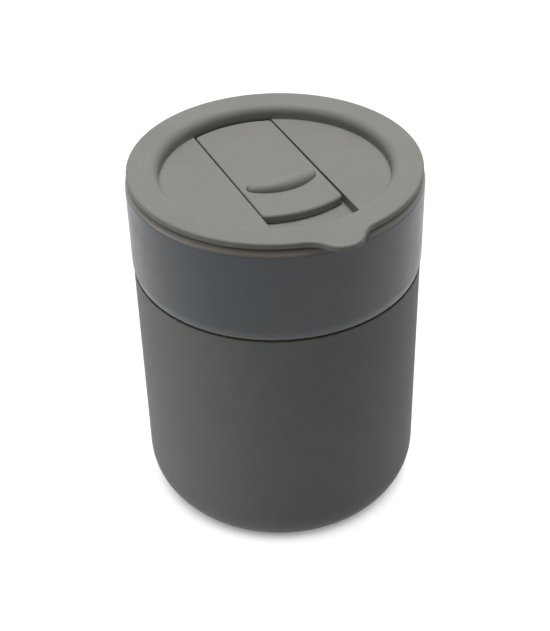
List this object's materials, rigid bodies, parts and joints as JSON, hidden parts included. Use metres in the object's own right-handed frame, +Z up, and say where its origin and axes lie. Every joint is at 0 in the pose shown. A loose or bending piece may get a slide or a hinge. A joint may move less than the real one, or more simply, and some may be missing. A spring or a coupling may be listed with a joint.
{
  "type": "lidded soup mug",
  "caption": "Ceramic soup mug in a silicone sleeve, with a press-in lid that has a pull tab and a sliding cover over its drinking hole.",
  "frame": {"origin": "centre of the base, on the surface that the mug stands on", "axes": "+Z up along the mug's axis, -Y towards the lid's pull tab, +Y towards the drinking hole"},
  "size_m": [0.09, 0.0951, 0.1208],
  "materials": {
    "glaze": "satin",
    "sleeve_silicone": "matte",
    "lid_plastic": "matte",
    "seal_silicone": "matte",
    "slider_plastic": "matte"
  },
  "bodies": {
    "cup": {"ceramic_cup": "glaze", "silicone_sleeve": "sleeve_silicone"},
    "lid": {"lid": "lid_plastic", "lid_seal": "seal_silicone"},
    "slider": {"slider": "slider_plastic"}
  },
  "joints": [
    {"name": "lid_lift", "type": "slide", "parent": "cup", "child": "lid", "axis": [0, 0, 1], "range_m": [0, 0.04]},
    {"name": "slider_slide", "type": "slide", "parent": "lid", "child": "slider", "axis": [0, -1, 0], "range_m": [0, 0.012]}
  ]
}
